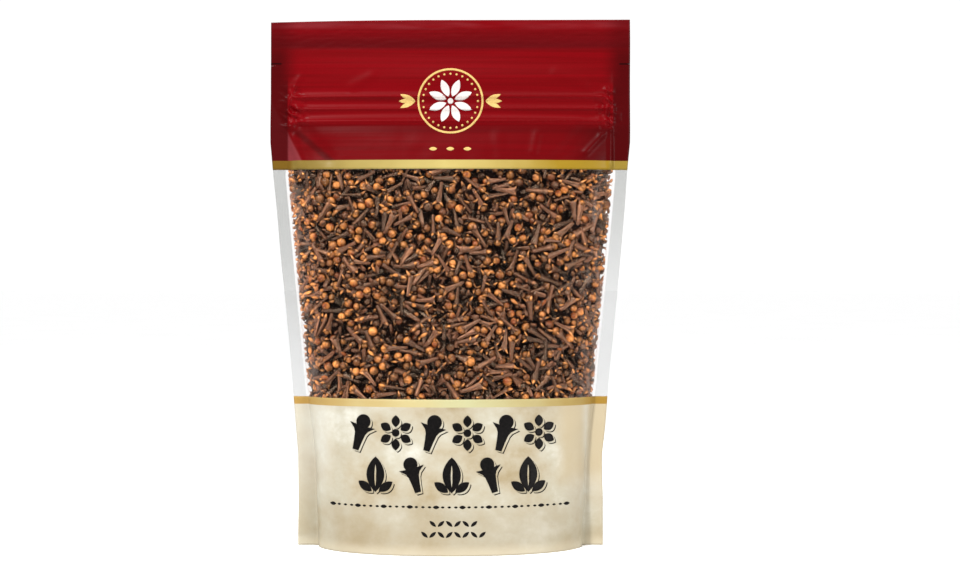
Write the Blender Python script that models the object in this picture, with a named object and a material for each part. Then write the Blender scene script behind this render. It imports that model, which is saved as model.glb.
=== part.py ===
"""A filled stand-up pouch of whole cloves: one sealed bag, modelled as one solid.

The flat header carries the top seal, tear notches and press-to-close ribs. Below it the bag
opens into a wedge that is deepest at its oval folded base, while its sides draw in a little.
Between the two printed bands the film is clear, so the cloves behind it show in relief on both
faces.
Metres, +Z up, front face towards -Y, origin at the middle of the base.
"""

import math
import random

import bmesh
import bpy
import numpy as np
from mathutils import Matrix, Vector

# Overall sizes of the filled bag
HEIGHT = 0.277
TOP_HALF_WIDTH = 0.095
BASE_HALF_WIDTH = 0.0805
BASE_HALF_DEPTH = 0.0385
FIN_HALF_THICKNESS = 0.0004

# Levels of the printed bands, above the base
LOWER_BAND_TOP = 0.0748
LOWER_STRIPE_TOP = 0.0788
UPPER_STRIPE_BOTTOM = 0.1995
UPPER_STRIPE_TOP = 0.2038

# Side seals, narrower beside the clear film: their width at some levels
SEAL_LEVELS = (0.0, 0.055, 0.085, 0.195, 0.215)
SEAL_WIDTHS = (0.0108, 0.0088, 0.0074, 0.0072, 0.0092)

# Top seal and tear notches
TOP_SEAL_BOTTOM = 0.2633
NOTCH_LEVEL = 0.2545
NOTCH_HALF_HEIGHT = 0.0007
NOTCH_DEPTH = 0.0022

# Press-to-close ribs
RIB_LEVELS = (0.2256, 0.2322, 0.2388)
RIB_HALF_HEIGHT = 0.0016
RIB_RELIEF = 0.0009

# Outline seen from the front: the sides draw in between two levels
TAPER_LOW = 0.048
TAPER_HIGH = 0.213
TAPER_EASING = 0.15
TOP_EDGE_SAG = 0.0016
CORNER_LIFT = 0.0012

# Profile seen from the side: a wedge that closes under the ribs, then the nearly flat header
CLOSING_LEVEL = 0.232
WEDGE_SHARE = 0.80
CLOSING_SHARPNESS = 10.0
CLOSING_ROUNDNESS = 0.8
HEADER_HALF_DEPTH = 0.0014
HEADER_FADE = 0.020

# Cross-section seen from above: an ellipse at the base, flatter higher up
SECTION_POWER = 2.1
SECTION_ROUND_AT_BASE = 0.52
SECTION_FLATTER_ABOVE = 0.10
SECTION_CHANGE_LEVEL = 0.11

# Underside: a seam groove round the folded base, and the fold itself
GROOVE_INSET = 0.0045
GROOVE_WIDTH = 0.0022
GROOVE_DEPTH = 0.0012
GROOVE_SEGMENTS = 36
FOLD_HALF_LENGTH = 0.046
FOLD_HALF_WIDTH = 0.0009
FOLD_CUT_BELOW = 0.0004

# Cloves behind the clear film
WINDOW_RECESS = 0.0027
WINDOW_STEP = 0.0004
CORE_LUMP = 0.0006
CLOVE_LENGTH = 0.0142
CLOVE_LENGTH_SPREAD = 0.12
CLOVE_MIDDLE = 0.6
CLOVE_SPACING = 0.0105
CLOVE_END_MARGIN = 0.0015
CLOVE_STRIPE_MARGIN = 0.0064
CLOVE_SEAL_MARGIN = 0.0052
SLOPE_STEP = 0.0005
CLOVES_PER_FACE = 104
PLACING_TRIES = 9000
TURNING_TRIES = 12
CLOVE_SIDES = 4
SEED = 27
SHARP_EDGE_ANGLE = 35.0

# A clove's shape: (share of its length from the stem's foot, radius)
CLOVE_PROFILE = ((0.0, 0.00135), (0.56, 0.00175), (0.72, 0.00320), (1.0, 0.00190))

# Most cloves lie along the film. Some stand up from it, sunk deeper. Tilts are in degrees.
UPRIGHT_SHARE = 0.22
LYING_TILT = (-6.0, 12.0)
LYING_LIFT = 0.0003
UPRIGHT_TILT = (45.0, 70.0)
UPRIGHT_LIFT = -0.0028

# Columns across one face, as shares of the width between the side seals
COLUMN_SHARES = (0.0, 0.22, 0.43, 0.62, 0.78, 0.90, 0.97, 1.0)

# Rows of points that no printed band or seal gives
BASE_LEVELS = (0.0, 0.004, 0.030, 0.055)
WINDOW_ROWS = 10
SHOULDER_LEVELS = (0.211, 0.218)
ABOVE_RIBS_LEVEL = 0.246
UNDER_SEAL_LEVEL = 0.2595


def clear_scene():
    for obj in list(bpy.data.objects):
        bpy.data.objects.remove(obj)


def principled(name, colour, roughness, metallic=0.0):
    material = bpy.data.materials.new(name)
    material.use_nodes = True
    shader = material.node_tree.nodes["Principled BSDF"]
    shader.inputs["Base Color"].default_value = (*colour, 1.0)
    shader.inputs["Roughness"].default_value = roughness
    shader.inputs["Metallic"].default_value = metallic
    return material


def clamp01(value):
    return max(0.0, min(1.0, value))


def smooth_step(value):
    t = clamp01(value)
    return t * t * (3.0 - 2.0 * t)


def half_width(z):
    """Outer half width of the bag, side seals included."""
    share = clamp01((TAPER_HIGH - z) / (TAPER_HIGH - TAPER_LOW))
    eased = (1.0 - TAPER_EASING) * share + TAPER_EASING * smooth_step(share)
    width = TOP_HALF_WIDTH - (TOP_HALF_WIDTH - BASE_HALF_WIDTH) * eased
    notch = clamp01(1.0 - abs(z - NOTCH_LEVEL) / NOTCH_HALF_HEIGHT)
    return width - NOTCH_DEPTH * notch


def seal_width(z):
    return float(np.interp(z, SEAL_LEVELS, SEAL_WIDTHS))


def inner_half_width(z):
    """Half width between the side seals. The tear notch doesn't reach it."""
    notch = clamp01(1.0 - abs(z - NOTCH_LEVEL) / NOTCH_HALF_HEIGHT)
    return half_width(z) + NOTCH_DEPTH * notch - seal_width(z)


def half_depth(z):
    """Half depth of the bag on its middle line."""
    if z >= TOP_SEAL_BOTTOM:
        return 0.0
    level = clamp01(z / CLOSING_LEVEL)
    wedge = BASE_HALF_DEPTH * (1.0 - WEDGE_SHARE * level)
    belly = wedge * (1.0 - level**CLOSING_SHARPNESS) ** CLOSING_ROUNDNESS
    header = HEADER_HALF_DEPTH * smooth_step((TOP_SEAL_BOTTOM - z) / HEADER_FADE)
    return math.hypot(belly, header)


def rib_relief(z):
    """How far the press-to-close ribs stand out at this level."""
    nearest = min(abs(z - level) for level in RIB_LEVELS)
    return RIB_RELIEF * clamp01(1.0 - nearest / RIB_HALF_HEIGHT)


def bulge(share, z):
    """Rounding of the cross-section: an ellipse at the base, flatter higher up."""
    power = SECTION_ROUND_AT_BASE + SECTION_FLATTER_ABOVE * smooth_step(z / SECTION_CHANGE_LEVEL)
    return (1.0 - abs(share) ** SECTION_POWER) ** power


def in_window(z):
    return LOWER_STRIPE_TOP < z < UPPER_STRIPE_BOTTOM


def face_depth(share, z, recess=0.0):
    """Distance of one face from the middle plane."""
    depth = (half_depth(z) + rib_relief(z)) * bulge(share, z) - recess
    return FIN_HALF_THICKNESS + max(0.0, depth)


def row_levels():
    """Levels of the rows of points, close together only where the shape changes."""
    low = LOWER_STRIPE_TOP + WINDOW_STEP
    high = UPPER_STRIPE_BOTTOM - WINDOW_STEP
    levels = [*BASE_LEVELS, LOWER_BAND_TOP, LOWER_STRIPE_TOP]
    levels += [low + (high - low) * i / WINDOW_ROWS for i in range(WINDOW_ROWS + 1)]
    levels += [UPPER_STRIPE_BOTTOM, UPPER_STRIPE_TOP, *SHOULDER_LEVELS]
    for level in RIB_LEVELS:
        levels += [level - RIB_HALF_HEIGHT, level, level + RIB_HALF_HEIGHT]
    levels += [ABOVE_RIBS_LEVEL, NOTCH_LEVEL - NOTCH_HALF_HEIGHT, NOTCH_LEVEL]
    levels += [NOTCH_LEVEL + NOTCH_HALF_HEIGHT, UNDER_SEAL_LEVEL, TOP_SEAL_BOTTOM, HEIGHT]
    return levels


def column_places(z):
    """x of each column at one level with its share of the inner width; the fins' edges have 1."""
    inner = inner_half_width(z)
    right = [(inner * share, share) for share in COLUMN_SHARES[1:]]
    right.append((half_width(z), 1.0))
    left = [(-x, share) for x, share in reversed(right)]
    return left + [(0.0, 0.0)] + right


def lowered(x, z):
    """The top edge sags a little towards its ends, and the base corners lift a little."""
    across = (x / half_width(z)) ** 2
    sag = TOP_EDGE_SAG * across * clamp01((z - UPPER_STRIPE_TOP) / (HEIGHT - UPPER_STRIPE_TOP))
    at_corner = abs(x) > inner_half_width(z) + 1e-5
    lift = CORNER_LIFT if z == 0.0 and at_corner else 0.0
    return z - sag + lift


def add_face_grid(mesh, levels, side, draw):
    """Points of the front (side -1) or back (side 1) face, row by row."""
    rows = []
    for z in levels:
        row = []
        for x, share in column_places(z):
            recess = 0.0
            if in_window(z) and share < 1.0:
                recess = WINDOW_RECESS + draw.uniform(-CORE_LUMP, CORE_LUMP)
            depth = face_depth(share, z, recess)
            row.append(mesh.verts.new((x, side * depth, lowered(x, z))))
        rows.append(row)
    return rows


def close_grid(mesh, rows, outward):
    """Fills a grid of points with quads, turned outwards."""
    for low, high in zip(rows, rows[1:]):
        for i in range(len(low) - 1):
            ring = [low[i], low[i + 1], high[i + 1], high[i]]
            mesh.faces.new(ring if outward else ring[::-1])


def close_edges(mesh, front, back):
    """Joins the two faces along the side edges, the top edge and the base."""
    for first, second in ((0, 0), (-1, -1)):
        for i in range(len(front) - 1):
            ring = [front[i][first], front[i + 1][first], back[i + 1][second], back[i][second]]
            mesh.faces.new(ring if first == 0 else ring[::-1])
    for i in range(len(front[-1]) - 1):
        mesh.faces.new([front[-1][i], front[-1][i + 1], back[-1][i + 1], back[-1][i]])
    low_front, low_back = front[0], back[0]
    mesh.faces.new([low_front[0], low_back[0], low_back[1], low_front[1]])
    mesh.faces.new([low_front[-2], low_back[-2], low_back[-1], low_front[-1]])
    mesh.faces.new(low_back[1:-1] + low_front[1:-1][::-1])


def band_of(z):
    """Which printed band a level lies in: an index into the bag's materials."""
    limits = (LOWER_BAND_TOP, LOWER_STRIPE_TOP, UPPER_STRIPE_BOTTOM, UPPER_STRIPE_TOP)
    return sum(z > limit for limit in limits)


def make_bag(draw):
    mesh = bmesh.new()
    levels = row_levels()
    front = add_face_grid(mesh, levels, -1, draw)
    back = add_face_grid(mesh, levels, 1, draw)
    close_grid(mesh, front, True)
    close_grid(mesh, back, False)
    close_edges(mesh, front, back)
    for face in mesh.faces:
        face.material_index = band_of(face.calc_center_median().z)
    data = bpy.data.meshes.new("pouch")
    mesh.to_mesh(data)
    mesh.free()
    bag = bpy.data.objects.new("pouch", data)
    bpy.context.scene.collection.objects.link(bag)
    gold = principled("gold stripe", (0.50, 0.37, 0.09), 0.35)
    for material in (
        principled("cream printed film", (0.72, 0.62, 0.45), 0.45),
        gold,
        principled("cloves behind clear film", (0.10, 0.045, 0.02), 0.5),
        gold,
        principled("red printed film", (0.30, 0.008, 0.015), 0.35),
        principled("clove", (0.22, 0.09, 0.035), 0.55),
    ):
        data.materials.append(material)
    return bag


def add_ellipse(mesh, half_length, half_width_y, z):
    ring = []
    for i in range(GROOVE_SEGMENTS):
        angle = math.tau * i / GROOVE_SEGMENTS
        place = (half_length * math.cos(angle), half_width_y * math.sin(angle), z)
        ring.append(mesh.verts.new(place))
    return ring


def make_groove_cutter():
    """An oval ring that cuts the seam groove round the folded base."""
    outer = (inner_half_width(0.0) - GROOVE_INSET, BASE_HALF_DEPTH - GROOVE_INSET)
    inner = (outer[0] - GROOVE_WIDTH, outer[1] - GROOVE_WIDTH)
    mesh = bmesh.new()
    rings = []
    for size, z in (
        (outer, -GROOVE_DEPTH),
        (outer, GROOVE_DEPTH),
        (inner, GROOVE_DEPTH),
        (inner, -GROOVE_DEPTH),
    ):
        rings.append(add_ellipse(mesh, size[0], size[1], z))
    for low, high in zip(rings, rings[1:] + rings[:1]):
        for i in range(GROOVE_SEGMENTS):
            j = (i + 1) % GROOVE_SEGMENTS
            mesh.faces.new([low[i], low[j], high[j], high[i]])
    bmesh.ops.recalc_face_normals(mesh, faces=mesh.faces)
    return cutter_object("groove cutter", mesh)


def make_fold_cutter():
    """A long three-sided bar that cuts the fold line across the base."""
    mesh = bmesh.new()
    low = -FOLD_CUT_BELOW
    corners = ((-FOLD_HALF_WIDTH, low), (FOLD_HALF_WIDTH, low), (0.0, GROOVE_DEPTH))
    ends = []
    for x in (-FOLD_HALF_LENGTH, FOLD_HALF_LENGTH):
        ends.append([mesh.verts.new((x, y, z)) for y, z in corners])
    for i in range(3):
        j = (i + 1) % 3
        mesh.faces.new([ends[0][i], ends[0][j], ends[1][j], ends[1][i]])
    mesh.faces.new(ends[0])
    mesh.faces.new(ends[1])
    bmesh.ops.recalc_face_normals(mesh, faces=mesh.faces)
    return cutter_object("fold cutter", mesh)


def cutter_object(name, mesh):
    data = bpy.data.meshes.new(name)
    mesh.to_mesh(data)
    mesh.free()
    cutter = bpy.data.objects.new(name, data)
    bpy.context.scene.collection.objects.link(cutter)
    cutter.hide_render = True
    cutter.display_type = "WIRE"
    return cutter


def apply_boolean(obj, operation, operand=None, collection=None):
    modifier = obj.modifiers.new("join", "BOOLEAN")
    modifier.operation = operation
    modifier.solver = "EXACT"
    if collection is None:
        modifier.object = operand
    else:
        modifier.operand_type = "COLLECTION"
        modifier.collection = collection
    graph = bpy.context.evaluated_depsgraph_get()
    result = bpy.data.meshes.new_from_object(obj.evaluated_get(graph))
    obj.modifiers.clear()
    obj.data = result


def cut_underside(bag):
    for cutter in (make_groove_cutter(), make_fold_cutter()):
        apply_boolean(bag, "DIFFERENCE", operand=cutter)
        bpy.data.objects.remove(cutter)


def make_clove(name, place, length, collection, material_count):
    """A nail-shaped clove: a tapering stem, a flared crown and a round bud."""
    mesh = bmesh.new()
    rings = []
    for share, radius in CLOVE_PROFILE:
        along = (share - CLOVE_MIDDLE) * length
        ring = []
        for i in range(CLOVE_SIDES):
            angle = math.tau * i / CLOVE_SIDES
            corner = (along, radius * math.cos(angle), radius * math.sin(angle))
            ring.append(mesh.verts.new(place @ Vector(corner)))
        rings.append(ring)
    for low, high in zip(rings, rings[1:]):
        for i in range(CLOVE_SIDES):
            j = (i + 1) % CLOVE_SIDES
            mesh.faces.new([low[i], low[j], high[j], high[i]])
    mesh.faces.new(rings[0][::-1])
    mesh.faces.new(rings[-1])
    bmesh.ops.recalc_face_normals(mesh, faces=mesh.faces)
    for face in mesh.faces:
        face.material_index = material_count - 1
    data = bpy.data.meshes.new(name)
    mesh.to_mesh(data)
    mesh.free()
    clove = bpy.data.objects.new(name, data)
    collection.objects.link(clove)
    return clove


def surface_frame(x, z, side):
    """A point of the lumpy core behind the film, with its outward normal."""

    def point(px, pz):
        share = px / inner_half_width(pz)
        return Vector((px, side * face_depth(share, pz, WINDOW_RECESS), pz))

    along_x = point(x + SLOPE_STEP, z) - point(x - SLOPE_STEP, z)
    along_z = point(x, z + SLOPE_STEP) - point(x, z - SLOPE_STEP)
    normal = along_x.cross(along_z).normalized()
    if normal.y * side < 0.0:
        normal = -normal
    return point(x, z), normal


def clove_places(draw):
    """Places (x, z) spread evenly over the clear film by keeping a least distance."""
    low = LOWER_STRIPE_TOP + CLOVE_STRIPE_MARGIN
    high = UPPER_STRIPE_BOTTOM - CLOVE_STRIPE_MARGIN
    places = []
    for _ in range(PLACING_TRIES):
        z = draw.uniform(low, high)
        reach = inner_half_width(z) - CLOVE_SEAL_MARGIN
        x = draw.uniform(-reach, reach)
        if all(math.hypot(x - px, z - pz) >= CLOVE_SPACING for px, pz in places):
            places.append((x, z))
        if len(places) == CLOVES_PER_FACE:
            break
    return places


def turned_across(point, normal, length, draw):
    """A direction along the film, turned until both ends of the clove stay between the seals."""
    start = normal.orthogonal().normalized()
    for _ in range(TURNING_TRIES):
        across = Matrix.Rotation(draw.uniform(0.0, math.tau), 3, normal) @ start
        head = point + across * (1.0 - CLOVE_MIDDLE) * length
        foot = point - across * CLOVE_MIDDLE * length
        if all(abs(end.x) < inner_half_width(end.z) - CLOVE_END_MARGIN for end in (head, foot)):
            break
    return across


def add_cloves(collection, side, draw, material_count):
    for number, (x, z) in enumerate(clove_places(draw)):
        point, normal = surface_frame(x, z, side)
        length = CLOVE_LENGTH * draw.uniform(1.0 - CLOVE_LENGTH_SPREAD, 1.0 + CLOVE_LENGTH_SPREAD)
        across = turned_across(point, normal, length, draw)
        tilt = math.radians(draw.uniform(*LYING_TILT))
        lift = LYING_LIFT
        if draw.random() < UPRIGHT_SHARE:
            tilt = math.radians(draw.uniform(*UPRIGHT_TILT))
            lift = UPRIGHT_LIFT
        axis = across * math.cos(tilt) + normal * math.sin(tilt)
        third = axis.cross(normal).normalized()
        second = third.cross(axis).normalized()
        place = Matrix((axis, second, third)).transposed().to_4x4()
        place.translation = point + normal * lift
        make_clove(f"clove {side} {number}", place, length, collection, material_count)


def fuse_cloves(bag, draw):
    """One union of all the cloves with the bag."""
    cloves = bpy.data.collections.new("cloves to fuse")
    bpy.context.scene.collection.children.link(cloves)
    for side in (-1, 1):
        add_cloves(cloves, side, draw, len(bag.data.materials))
    apply_boolean(bag, "UNION", collection=cloves)
    for clove in list(cloves.objects):
        bpy.data.objects.remove(clove)
    bpy.data.collections.remove(cloves)


def main():
    clear_scene()
    draw = random.Random(SEED)
    bag = make_bag(draw)
    cut_underside(bag)
    fuse_cloves(bag, draw)
    bag.data.shade_smooth()
    bag.data.set_sharp_from_angle(angle=math.radians(SHARP_EDGE_ANGLE))


main()
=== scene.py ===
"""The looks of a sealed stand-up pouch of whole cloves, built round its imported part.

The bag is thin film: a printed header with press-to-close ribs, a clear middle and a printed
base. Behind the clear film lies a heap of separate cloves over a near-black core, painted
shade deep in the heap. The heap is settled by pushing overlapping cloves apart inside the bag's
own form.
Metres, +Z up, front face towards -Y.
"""

import math

import bpy
import numpy as np
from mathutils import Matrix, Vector
from mathutils.geometry import delaunay_2d_cdt


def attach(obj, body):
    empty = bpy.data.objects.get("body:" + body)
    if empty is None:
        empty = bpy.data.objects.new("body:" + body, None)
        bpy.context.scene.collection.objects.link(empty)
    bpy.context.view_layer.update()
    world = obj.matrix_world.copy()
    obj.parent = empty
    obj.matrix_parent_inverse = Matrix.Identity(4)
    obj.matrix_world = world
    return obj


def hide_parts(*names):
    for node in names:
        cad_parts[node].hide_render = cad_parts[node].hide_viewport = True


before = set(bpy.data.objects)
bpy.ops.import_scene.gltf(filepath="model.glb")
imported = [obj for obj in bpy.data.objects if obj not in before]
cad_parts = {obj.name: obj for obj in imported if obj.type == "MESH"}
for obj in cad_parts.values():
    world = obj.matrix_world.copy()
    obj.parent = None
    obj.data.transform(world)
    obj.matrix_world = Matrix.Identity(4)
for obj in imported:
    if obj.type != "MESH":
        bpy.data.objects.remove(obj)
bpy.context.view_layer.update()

# Overall form of the filled bag, as in the part
HEIGHT = 0.278
TOP_HALF_WIDTH = 0.095
BASE_HALF_WIDTH = 0.0805
BASE_HALF_DEPTH = 0.0385
LOWER_BAND_TOP = 0.0748
LOWER_STRIPE_TOP = 0.0788
UPPER_STRIPE_BOTTOM = 0.1984
UPPER_STRIPE_TOP = 0.2032
SEAL_LEVELS = (0.0, 0.055, 0.085, 0.195, 0.215)
SEAL_WIDTHS = (0.0108, 0.0088, 0.0074, 0.0072, 0.0092)
TOP_SEAL_BOTTOM = 0.2633
TAPER_LOW = 0.048
TAPER_HIGH = 0.213
TAPER_EASING = 0.15
CLOSING_LEVEL = 0.232
WEDGE_SHARE = 0.80
CLOSING_SHARPNESS = 10.0
CLOSING_ROUNDNESS = 0.8
HEADER_HALF_DEPTH = 0.0014
HEADER_FADE = 0.020
TOP_EDGE_SAGS = (0.0017, 0.0001)
CORNER_LIFT = 0.0002
SECTION_POWER = 2.1
SECTION_ROUND_AT_BASE = 0.52
SECTION_FLATTER_ABOVE = 0.10
SECTION_CHANGE_LEVEL = 0.11

# Film, its seals and its tear notches
FILM_THICKNESS = 0.00012
FIN_HALF_THICKNESS = 0.00022
FIN_COLUMNS = 8
HALF_COLUMNS = 66
COLUMN_CROWDING = 1.25
EDGE_WANDER = 0.00035
EDGE_WANDER_LENGTH = 0.022
FIN_FLUTTER = 0.0009
FIN_FLUTTER_LENGTH = 0.034
NOTCH_LEVEL = 0.2545
NOTCH_HALF_HEIGHT = 0.00006
NOTCH_DEPTHS = {-1: 0.0042, 1: 0.0021}

# Press-to-close ribs
RIB_LEVELS = (0.2242, 0.2308, 0.2374)
RIB_HALF_HEIGHT = 0.0031
RIB_CREST_HALF_HEIGHT = 0.0013
RIB_CREST_SHARE = 0.35
RIB_RELIEF = 0.0012
RIB_END_FADE = 0.004

# Underside of the folded base
GROOVE_INSET = 0.0045
GROOVE_WIDTH = 0.0022
GROOVE_DEPTH = 0.0012
FOLD_HALF_LENGTH = 0.046
FOLD_HALF_WIDTH = 0.0012
BASE_RUNGS = 28

# Cloves. Lengths run along a clove from the foot of its stem to the top of its bud.
CLOVE_LENGTH = 0.0142
CLOVE_COUNT = 1800
LOOSE_BUD_COUNT = 100
BUDLESS_SHARE = 0.15
OUTWARD_LEAN = 0.25
CROWN_AT = 0.70
BUD_AT = 0.825
BUD_RADIUS = 0.00235
LOBE_REACH = 0.0045
LOBE_SPREAD = math.radians(38.0)
CLOVE_SIDES = 8
HEAP_LOW = 0.070
HEAP_HIGH = 0.209
HEAP_THICKNESS = 0.0100
CORE_SEAL_MARGIN = 0.0030
CORE_THIN_SHARE = 0.25
CORE_COLUMNS = 80
SQUEEZED_SHARE = 0.45
SQUEEZED_BELOW = 0.0070
CHIP_COUNT = 1600
CHIP_EDGE_SHARE = 0.6
CHIP_EDGE_WIDTH = 0.013
CHIP_DEPTHS = (0.0008, 0.0046)
HIDDEN_MARGIN = 0.003
DEEPEST_SEEN = 0.0080
FILM_CLEARANCE = 0.0003
SEAL_CLEARANCE = 0.0004
FLATTEST = 0.42
# GLOOM sets painted shade in the clove colours deeper in the heap; EDGE_LIGHT sets painted light by the
# left seal.
GLOOM_STARTS = 0.0006
GLOOM_ENDS = 0.0053
GLOOM_SHADE = 0.05
SETTLING_STEPS = 110
SETTLING_PUSH = 0.42
SETTLING_DRIFT = 0.00006
PAIRING_REACH = 1.15
EDGE_LIGHT = 1.45
EDGE_LIGHT_WIDTH = 0.022
HEAP_SEED = 41

# Camera of the photograph, and the spot that the lights aim at
CAMERA_PLACE = (0.0156, -0.90, 0.136)
CAMERA_LENS = 63.8
LIGHTS_AIM = (0.0, 0.0, 0.14)
SPOT_CONE = math.radians(20.0)
WORLD_STRENGTH = 1.06


# Small helpers for numbers

def clamp01(value):
    return np.clip(value, 0.0, 1.0)


def smooth(value):
    t = clamp01(value)
    return t * t * (3.0 - 2.0 * t)


def lerp(low, high, share):
    return low + (high - low) * share


def unit(vectors):
    return vectors / np.linalg.norm(vectors, axis=1, keepdims=True)


def bump_at(value, middle, half_width):
    """A rounded bump of height 1 over middle that ends half_width away."""
    return 0.5 + 0.5 * np.cos(math.pi * clamp01(np.abs(value - middle) / half_width))


NOISE_CELLS = 64


def lattice_noise(a, b, seed):
    """Smooth noise from -1 to 1 over two coordinates, one unit to a cell."""
    table = np.random.default_rng(seed).uniform(-1.0, 1.0, (NOISE_CELLS, NOISE_CELLS))
    a, b = np.broadcast_arrays(a, b)
    cell_a, cell_b = np.floor(a).astype(int), np.floor(b).astype(int)
    part_a, part_b = smooth(a - cell_a), smooth(b - cell_b)
    low_a, high_a = cell_a % NOISE_CELLS, (cell_a + 1) % NOISE_CELLS
    low, high = (
        lerp(table[low_a, row % NOISE_CELLS], table[high_a, row % NOISE_CELLS], part_a)
        for row in (cell_b, cell_b + 1)
    )
    return lerp(low, high, part_b)


# Form of the bag

def plain_half_width(z):
    share = clamp01((TAPER_HIGH - z) / (TAPER_HIGH - TAPER_LOW))
    eased = (1.0 - TAPER_EASING) * share + TAPER_EASING * smooth(share)
    return TOP_HALF_WIDTH - (TOP_HALF_WIDTH - BASE_HALF_WIDTH) * eased


def seal_width(z):
    return np.interp(z, SEAL_LEVELS, SEAL_WIDTHS)


def inner_half_width(z):
    return plain_half_width(z) - seal_width(z)


def edge_half_width(z, side):
    """Half width out to the cut edge, on the left (side -1) or right (side 1)."""
    wander = EDGE_WANDER * lattice_noise(z / EDGE_WANDER_LENGTH, 0.5 + side, 5)
    notch = clamp01(1.0 - np.abs(z - NOTCH_LEVEL) / NOTCH_HALF_HEIGHT)
    return plain_half_width(z) + wander - NOTCH_DEPTHS[side] * notch


def half_depth(z):
    """Half depth of the bag on its middle line."""
    level = clamp01(z / CLOSING_LEVEL)
    wedge = BASE_HALF_DEPTH * (1.0 - WEDGE_SHARE * level)
    belly = wedge * (1.0 - level**CLOSING_SHARPNESS) ** CLOSING_ROUNDNESS
    header = HEADER_HALF_DEPTH * smooth((TOP_SEAL_BOTTOM - z) / HEADER_FADE)
    return np.hypot(belly, header)


def bag_depth(x, z):
    """Distance of the film from the middle plane: nothing at the seals."""
    share = clamp01(np.abs(x) / inner_half_width(z))
    power = SECTION_ROUND_AT_BASE + SECTION_FLATTER_ABOVE * smooth(z / SECTION_CHANGE_LEVEL)
    return half_depth(z) * (1.0 - share**SECTION_POWER) ** power


# Relief of the film: folds as (x, z) of both ends, half width and height, all in millimetres.
# A height below nothing is a valley.

FOLDS = (
    (-84.8, 219.0, -78.8, 200.5, 4.2, 1.2), (-80.0, 223.5, -64.0, 204.0, 6.0, -0.6),
    (85.2, 220.0, 84.8, 201.0, 2.6, 1.0), (79.6, 216.4, 71.2, 207.5, 2.8, 1.0),
    (72.0, 221.0, 56.0, 203.0, 7.0, -0.6), (45.8, 217.0, 44.0, 208.0, 4.0, 0.7),
    (25.0, 216.0, 26.2, 205.0, 5.0, 0.4), (-42.0, 248.0, -52.0, 242.5, 4.5, 0.4),
    (56.0, 250.0, 70.0, 244.0, 5.0, 0.4), (-86.4, 232.0, -82.4, 242.5, 1.7, 1.0),
    (-80.0, 247.5, -85.0, 240.5, 3.0, 0.6), (83.8, 232.0, 82.2, 241.5, 1.6, 1.0),
    (-77.0, 195.0, -73.5, 140.0, 5.0, 0.6), (76.5, 190.0, 72.5, 130.0, 5.0, 0.6),
    (-69.0, 110.0, -67.0, 80.0, 4.5, 0.7), (69.0, 120.0, 66.5, 80.0, 4.5, 0.7),
    (-72.7, 65.6, -69.0, 13.2, 2.6, -0.3), (-64.0, 70.0, -65.5, 30.0, 6.0, 0.8),
    (72.2, 68.0, 70.0, 20.0, 3.0, -0.3), (56.0, 50.0, 64.0, 15.0, 8.0, 0.6),
    (-30.0, 24.0, 10.0, 14.0, 9.0, -0.5),
)
CRINKLE_MIDDLE = 0.0835
CRINKLE_HALF_WIDTH = 0.0095
CRINKLE_LEVEL = 0.2300
CRINKLE_HALF_HEIGHT = 0.0185
CRINKLE_RELIEF = 0.0030
CRINKLE_CELL = 0.0040
WAVE_RELIEF = 0.00035
LUMP_RELIEF = 0.0004


def fold_relief(x, z):
    """Height of all the folds at each point, soft at their foot and sharper on top."""
    total = np.zeros(np.broadcast(x, z).shape)
    for x0, z0, x1, z1, half, height in 0.001 * np.array(FOLDS):
        run_x, run_z = x1 - x0, z1 - z0
        along = clamp01(((x - x0) * run_x + (z - z0) * run_z) / (run_x**2 + run_z**2))
        gap = np.hypot(x - x0 - along * run_x, z - z0 - along * run_z)
        total += height * smooth(1.0 - gap / half)
    return total


def rib_relief(x, z):
    total = sum(
        (1.0 - RIB_CREST_SHARE) * bump_at(z, level, RIB_HALF_HEIGHT)
        + RIB_CREST_SHARE * bump_at(z, level, RIB_CREST_HALF_HEIGHT)
        for level in RIB_LEVELS
    )
    reach = inner_half_width(z) - 0.001
    return RIB_RELIEF * total * smooth((reach - np.abs(x)) / RIB_END_FADE)


def crinkles(x, z, seed):
    """Crushed film where the ribs run into the side seals."""
    near = bump_at(np.abs(x), CRINKLE_MIDDLE, CRINKLE_HALF_WIDTH)
    near = near * bump_at(z, CRINKLE_LEVEL, CRINKLE_HALF_HEIGHT)
    skew = z / CRINKLE_CELL + 0.6 * x / CRINKLE_CELL
    coarse = 1.0 - 2.0 * np.abs(lattice_noise(x / CRINKLE_CELL, skew, seed))
    fine = lattice_noise(2.3 * x / CRINKLE_CELL, 2.3 * skew, seed + 1)
    return CRINKLE_RELIEF * near * (0.7 * coarse + 0.3 * fine)


def film_relief(x, z, side):
    """All that stands on the bag's plain form. The back mirrors the folds and has its own noise."""
    seed = 11 if side < 0 else 71
    waves = lattice_noise(x / 0.055, z / 0.0075, seed) * smooth((z - 0.205) / 0.012)
    lumps = lattice_noise(x / 0.017, z / 0.014, seed + 3)
    lumps = lumps + 0.5 * lattice_noise(x / 0.008, z / 0.009, seed + 4)
    lumps = lumps * smooth((0.225 - z) / 0.02)
    plain = WAVE_RELIEF * waves + LUMP_RELIEF * lumps + fold_relief(-side * x, z)
    inside = smooth((inner_half_width(z) + 0.0015 - np.abs(x)) / 0.004)
    foot = smooth(z / 0.006)
    below_top_seal = 1.0 - 0.75 * smooth((z - TOP_SEAL_BOTTOM + 0.002) / 0.004)
    soft = plain * inside * foot + crinkles(x, z, seed + 7)
    return soft * below_top_seal + rib_relief(x, z)


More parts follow.
